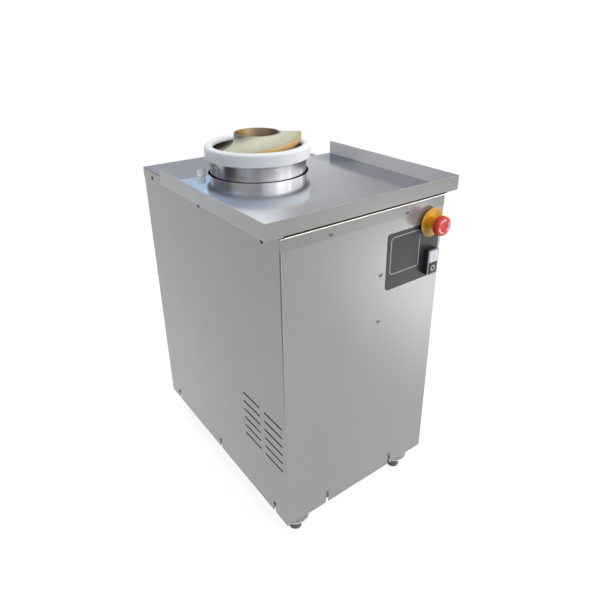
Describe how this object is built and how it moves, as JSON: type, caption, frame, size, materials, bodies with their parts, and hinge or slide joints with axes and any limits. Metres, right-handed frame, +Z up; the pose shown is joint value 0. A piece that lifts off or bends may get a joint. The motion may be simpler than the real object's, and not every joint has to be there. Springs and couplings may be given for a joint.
{
  "type": "dough rounder",
  "caption": "Free-standing bakery dough rounder: steel cabinet on feet, open loading tray, turning drum with ring round a fixed hollow auger, emergency stop and push switch in front.",
  "frame": {"origin": "on the floor, under the middle of the overall outline", "axes": "+Z up, the front with the controls faces -Y, +X to the right seen from the front"},
  "size_m": [0.4614, 0.6378, 0.8025],
  "materials": {
    "cabinet_steel": "fine satin, quite bright",
    "frame_steel": "satin",
    "drum_steel": "turned and polished",
    "ring_white": "smooth",
    "auger_metal": "cast and polished, warm",
    "screw_steel": "bright",
    "rubber_black": "matt",
    "flange_steel": "dull",
    "spindle_steel": "turned",
    "bearing_steel": "bright",
    "pulley_iron": "machined",
    "motor_alloy": "painted grey",
    "cover_sheet": "satin",
    "plastic_black": "fine grained",
    "plastic_red": "smooth",
    "plastic_yellow": "smooth",
    "plastic_light": "smooth",
    "plastic_grey": "fine grained",
    "label_dark": "printed film",
    "gear_plastic": "fine grained"
  },
  "bodies": {
    "cabinet": {"top_cover": "cabinet_steel", "loading_tray": "cabinet_steel", "left_panel": "cabinet_steel", "right_panel": "cabinet_steel", "front_panel": "cabinet_steel", "back_panel": "cabinet_steel", "base_pan": "frame_steel", "plate_rail_left": "frame_steel", "plate_rail_right": "frame_steel", "drive_plate": "frame_steel", "control_bracket": "frame_steel", "corner_post_front_left": "frame_steel", "corner_post_front_right": "frame_steel", "corner_post_back_left": "frame_steel", "corner_post_back_right": "frame_steel", "drive_belt": "rubber_black", "rubber_foot_front_left": "rubber_black", "rubber_foot_front_right": "rubber_black", "rubber_foot_back_left": "rubber_black", "rubber_foot_back_right": "rubber_black", "foot_stems": "flange_steel", "foot_flanges": "flange_steel", "panel_screws": "screw_steel", "tray_screws": "screw_steel", "plate_screws": "screw_steel", "spindle": "spindle_steel", "spindle_nut": "spindle_steel", "motor_body": "motor_alloy", "fan_cover": "cover_sheet", "motor_box": "gear_plastic", "contactor": "gear_plastic", "terminal_block": "gear_plastic", "switch_contacts": "gear_plastic", "estop_contact_block": "gear_plastic", "estop_ring_nut": "gear_plastic", "estop_collar": "plastic_yellow", "control_plate": "label_dark", "switch_housing": "plastic_black", "cable_gland": "plastic_black", "gland_nut": "plastic_black", "switch_bezel": "plastic_grey"},
    "drum": {"drum": "drum_steel", "drum_ring": "ring_white", "drum_hub": "frame_steel", "lower_bearing": "bearing_steel", "upper_bearing": "bearing_steel", "drum_seal": "rubber_black", "drum_screws": "screw_steel", "drum_pulley": "pulley_iron"},
    "rotor": {"motor_shaft": "spindle_steel", "motor_pulley": "pulley_iron", "motor_fan": "gear_plastic"},
    "auger": {"auger_tube": "auger_metal", "auger_flight_lower": "auger_metal", "auger_flight_upper": "auger_metal"},
    "estop_plunger": {"estop_stem": "spindle_steel"},
    "estop_knob": {"estop_head": "plastic_red"},
    "start_key": {"start_button": "plastic_light"},
    "stop_key": {"stop_button": "plastic_black"}
  },
  "joints": [
    {"name": "drum_spin", "type": "hinge", "parent": "cabinet", "child": "drum", "pos_m": [-0.00525, 0.1024, 0], "axis": [0, 0, 1], "continuous": true},
    {"name": "motor_spin", "type": "hinge", "parent": "cabinet", "child": "rotor", "pos_m": [-0.00525, -0.1126, 0], "axis": [0, 0, 1], "continuous": true},
    {"name": "auger_lift", "type": "slide", "parent": "cabinet", "child": "auger", "axis": [0, 0, 1], "range_m": [0, 0.2]},
    {"name": "estop_press", "type": "slide", "parent": "cabinet", "child": "estop_plunger", "axis": [0, 1, 0], "range_m": [0, 0.006]},
    {"name": "estop_twist", "type": "hinge", "parent": "estop_plunger", "child": "estop_knob", "pos_m": [0.15225, -0.29, 0.666], "axis": [0, 1, 0], "range_deg": [0, 45], "stiffness_Nm_per_rad": 0.2},
    {"name": "start_press", "type": "slide", "parent": "cabinet", "child": "start_key", "axis": [0, 1, 0], "range_m": [0, 0.003], "stiffness_N_per_m": 900},
    {"name": "stop_press", "type": "slide", "parent": "cabinet", "child": "stop_key", "axis": [0, 1, 0], "range_m": [0, 0.003], "stiffness_N_per_m": 900}
  ],
  "couplings": [
    {"joint": "motor_spin", "follows": "drum_spin", "ratio": 5.1702}
  ]
}
